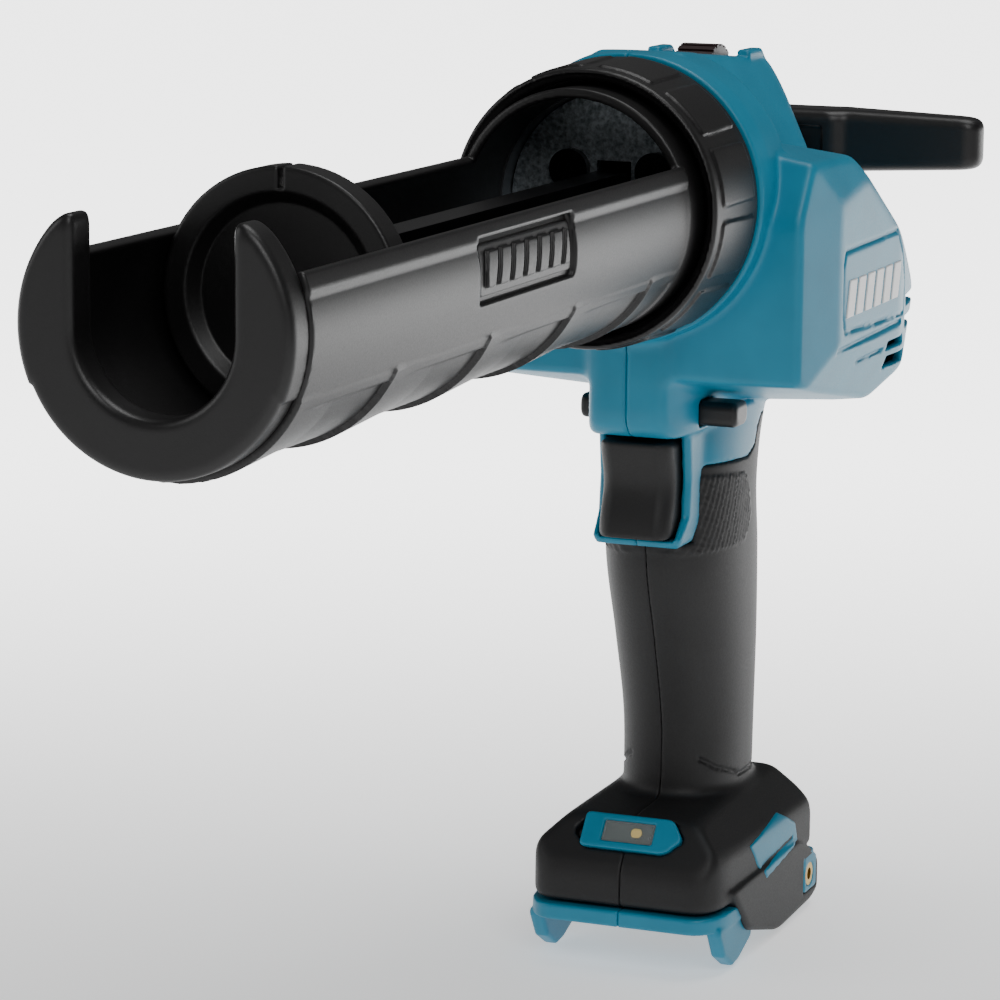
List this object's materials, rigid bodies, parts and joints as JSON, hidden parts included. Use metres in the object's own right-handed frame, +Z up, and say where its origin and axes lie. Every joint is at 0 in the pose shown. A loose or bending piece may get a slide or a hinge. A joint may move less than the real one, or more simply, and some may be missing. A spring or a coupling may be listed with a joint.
{
  "type": "caulking gun",
  "caption": "Battery caulking gun: half-open cartridge holder, toothed rod with plunger and pull handle, geared drive, pistol grip and battery foot.",
  "frame": {"origin": "centre of the flat battery seat under the foot", "axes": "-Y forward along the barrel, +Y to the rear, +Z up from the battery seat towards the barrel, +X to the tool's left"},
  "size_m": [0.107, 0.401, 0.2396],
  "materials": {
    "teal_body": "fine moulded texture, satin",
    "soft_grip": "soft overmould, matt",
    "hard_black": "glass-filled nylon, fine texture",
    "steel": "machined",
    "blued_steel": "blackened",
    "cast_metal": "die cast",
    "brass": "turned",
    "circuit_board": "solder mask",
    "lead_red": "insulation",
    "badge": "blank badge",
    "lens": "clear",
    "dial": "moulded"
  },
  "bodies": {
    "handle": {"housing_left": "teal_body", "housing_right": "teal_body", "grip_left": "soft_grip", "grip_right": "soft_grip", "foot_inserts": "brass", "badge_left": "badge", "badge_right": "badge", "gear_housing": "cast_metal", "end_plate": "steel", "plate_screws": "blued_steel", "pinion_bushes": "brass", "clutch_axle": "steel", "ring_gear": "steel", "motor_bushes": "brass", "motor_can": "cast_metal", "motor_cap": "hard_black", "dial_pin": "steel", "dial_board": "circuit_board", "trigger_spring": "steel", "switch_body": "hard_black", "led_lens": "lens", "led_bezel": "teal_body", "led_board": "circuit_board", "controller_board": "circuit_board", "terminal_block": "hard_black", "terminal_blades": "brass", "lead_red": "lead_red", "lead_black": "hard_black", "housing_screws": "steel"},
    "holder": {"holder_trough": "hard_black", "front_plate": "hard_black", "holder_badge": "hard_black"},
    "ring": {"retaining_ring": "hard_black"},
    "rod": {"rack_rod": "blued_steel", "plunger": "hard_black", "plunger_screw": "steel", "pull_handle": "hard_black", "handle_pin": "steel"},
    "pinion": {"rack_pinion": "steel", "driven_gear": "steel", "pinion_shaft": "steel"},
    "clutch": {"clutch_gear": "steel"},
    "rotor": {"sun_shaft": "steel", "armature": "brass", "fan": "hard_black"},
    "planet_carrier": {"carrier": "steel", "clutch_plate": "brass"},
    "first_planet": {"planet_a": "steel"},
    "second_planet": {"planet_b": "steel"},
    "third_planet": {"planet_c": "steel"},
    "trigger_key": {"trigger": "soft_grip"},
    "lock": {"lock_button": "soft_grip", "lock_link": "steel"},
    "dial": {"speed_dial": "dial"}
  },
  "joints": [
    {"name": "rod_slide", "type": "slide", "parent": "handle", "child": "rod", "axis": [0, 1, 0], "range_m": [-0.014, 0.17]},
    {"name": "pinion_spin", "type": "hinge", "parent": "handle", "child": "pinion", "pos_m": [0, 0.014, 0.1755], "axis": [1, 0, 0], "continuous": true},
    {"name": "clutch_spin", "type": "hinge", "parent": "handle", "child": "clutch", "pos_m": [0, 0.03251, 0.15344], "axis": [1, 0, 0], "continuous": true},
    {"name": "rotor_spin", "type": "hinge", "parent": "handle", "child": "rotor", "pos_m": [0, 0.03251, 0.15344], "axis": [1, 0, 0], "continuous": true},
    {"name": "carrier_spin", "type": "hinge", "parent": "handle", "child": "planet_carrier", "pos_m": [0, 0.03251, 0.15344], "axis": [1, 0, 0], "continuous": true},
    {"name": "first_planet_spin", "type": "hinge", "parent": "planet_carrier", "child": "first_planet", "pos_m": [0, 0.04151, 0.15344], "axis": [1, 0, 0], "continuous": true},
    {"name": "second_planet_spin", "type": "hinge", "parent": "planet_carrier", "child": "second_planet", "pos_m": [0, 0.02801, 0.16123], "axis": [1, 0, 0], "continuous": true},
    {"name": "third_planet_spin", "type": "hinge", "parent": "planet_carrier", "child": "third_planet", "pos_m": [0, 0.02801, 0.14564], "axis": [1, 0, 0], "continuous": true},
    {"name": "holder_turn", "type": "hinge", "parent": "handle", "child": "holder", "pos_m": [0, -0.1, 0.1905], "axis": [0, 1, 0], "continuous": true},
    {"name": "ring_turn", "type": "hinge", "parent": "handle", "child": "ring", "pos_m": [0, -0.06, 0.1905], "axis": [0, 1, 0], "range_deg": [-90, 0]},
    {"name": "trigger_pull", "type": "slide", "parent": "handle", "child": "trigger_key", "axis": [0, 1, 0], "range_m": [0, 0.006], "stiffness_N_per_m": 1000, "springref_m": -0.002, "deforming": ["trigger_spring"]},
    {"name": "lock_slide", "type": "slide", "parent": "handle", "child": "lock", "axis": [1, 0, 0], "range_m": [-0.005, 0]},
    {"name": "dial_turn", "type": "hinge", "parent": "handle", "child": "dial", "pos_m": [0, 0.012, 0.2145], "axis": [1, 0, 0], "range_deg": [-120, 120]}
  ],
  "couplings": [
    {"joint": "pinion_spin", "follows": "rod_slide", "rad_per_m": -114.29},
    {"joint": "clutch_spin", "follows": "rod_slide", "rad_per_m": 297.14},
    {"joint": "carrier_spin", "follows": "rotor_spin", "ratio": 0.2},
    {"joint": "first_planet_spin", "follows": "rotor_spin", "ratio": -0.53333},
    {"joint": "second_planet_spin", "follows": "rotor_spin", "ratio": -0.53333},
    {"joint": "third_planet_spin", "follows": "rotor_spin", "ratio": -0.53333}
  ]
}
